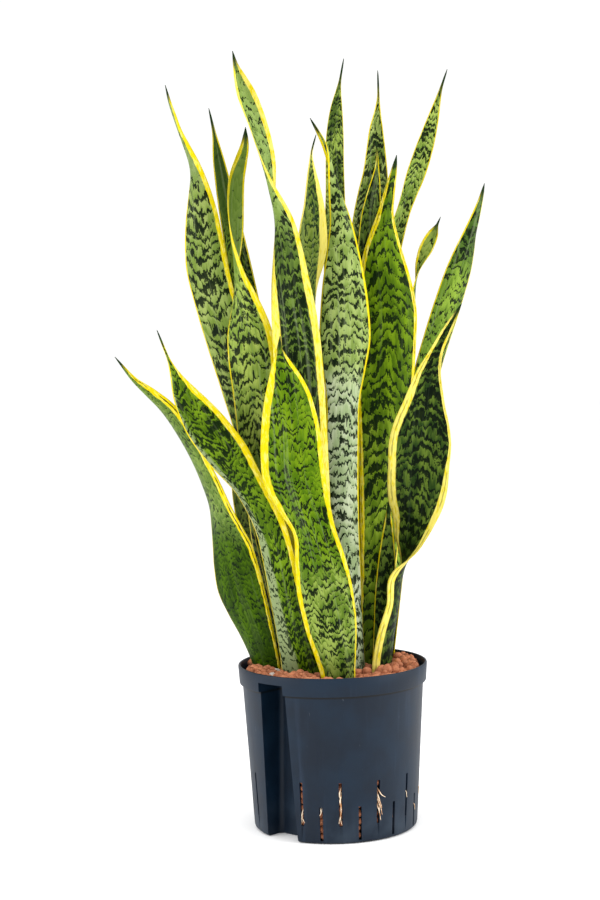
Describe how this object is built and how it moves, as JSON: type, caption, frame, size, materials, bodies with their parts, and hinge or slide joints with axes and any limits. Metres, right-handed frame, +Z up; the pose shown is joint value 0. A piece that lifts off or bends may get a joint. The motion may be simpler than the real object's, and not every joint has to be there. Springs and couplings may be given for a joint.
{
  "type": "potted snake plant",
  "caption": "Upright snake plant with tall banded green, yellow-edged sword leaves, in a round dark hydroculture pot of clay granules.",
  "frame": {"origin": "centre of the pot's underside, on the surface that it stands on", "axes": "+Z up along the pot's axis; -Y is the front; +X is to the right seen from the front"},
  "size_m": [0.4271, 0.2663, 0.8901],
  "materials": {
    "pot_plastic": "moulded slate-grey plastic, fine matte texture",
    "clay": null,
    "leaf_blade": "waxy green leaf with dark cross bands and yellow margins (leather stands in for leaf tissue)",
    "rhizome_skin": "ochre underground stem",
    "root_skin": "pale cream dry root"
  },
  "bodies": {
    "root": {"clay_granules": "clay", "leaf_back_centre_slim": "leaf_blade", "leaf_back_centre_wide": "leaf_blade", "leaf_back_left": "leaf_blade", "leaf_back_right_tall": "leaf_blade", "leaf_centre_back_left": "leaf_blade", "leaf_centre_tall_pale": "leaf_blade", "leaf_front_centre": "leaf_blade", "leaf_front_left": "leaf_blade", "leaf_inner_back_slim": "leaf_blade", "leaf_left_centre_tall": "leaf_blade", "leaf_left_tall": "leaf_blade", "leaf_left_twisted": "leaf_blade", "leaf_low_left": "leaf_blade", "leaf_rear_centre": "leaf_blade", "leaf_rear_left": "leaf_blade", "leaf_rear_low_right": "leaf_blade", "leaf_rear_right": "leaf_blade", "leaf_right_back_small": "leaf_blade", "leaf_right_centre": "leaf_blade", "leaf_right_inner_small": "leaf_blade", "leaf_right_tall": "leaf_blade", "leaf_right_twisted": "leaf_blade", "pot": "pot_plastic", "rhizome_back": "rhizome_skin", "rhizome_centre": "rhizome_skin", "rhizome_front": "rhizome_skin", "rhizome_left": "rhizome_skin", "rhizome_right": "rhizome_skin", "root_slot_0": "root_skin", "root_slot_1": "root_skin", "root_slot_2": "root_skin", "root_slot_4": "root_skin", "root_slot_7": "root_skin"}
  },
  "joints": []
}
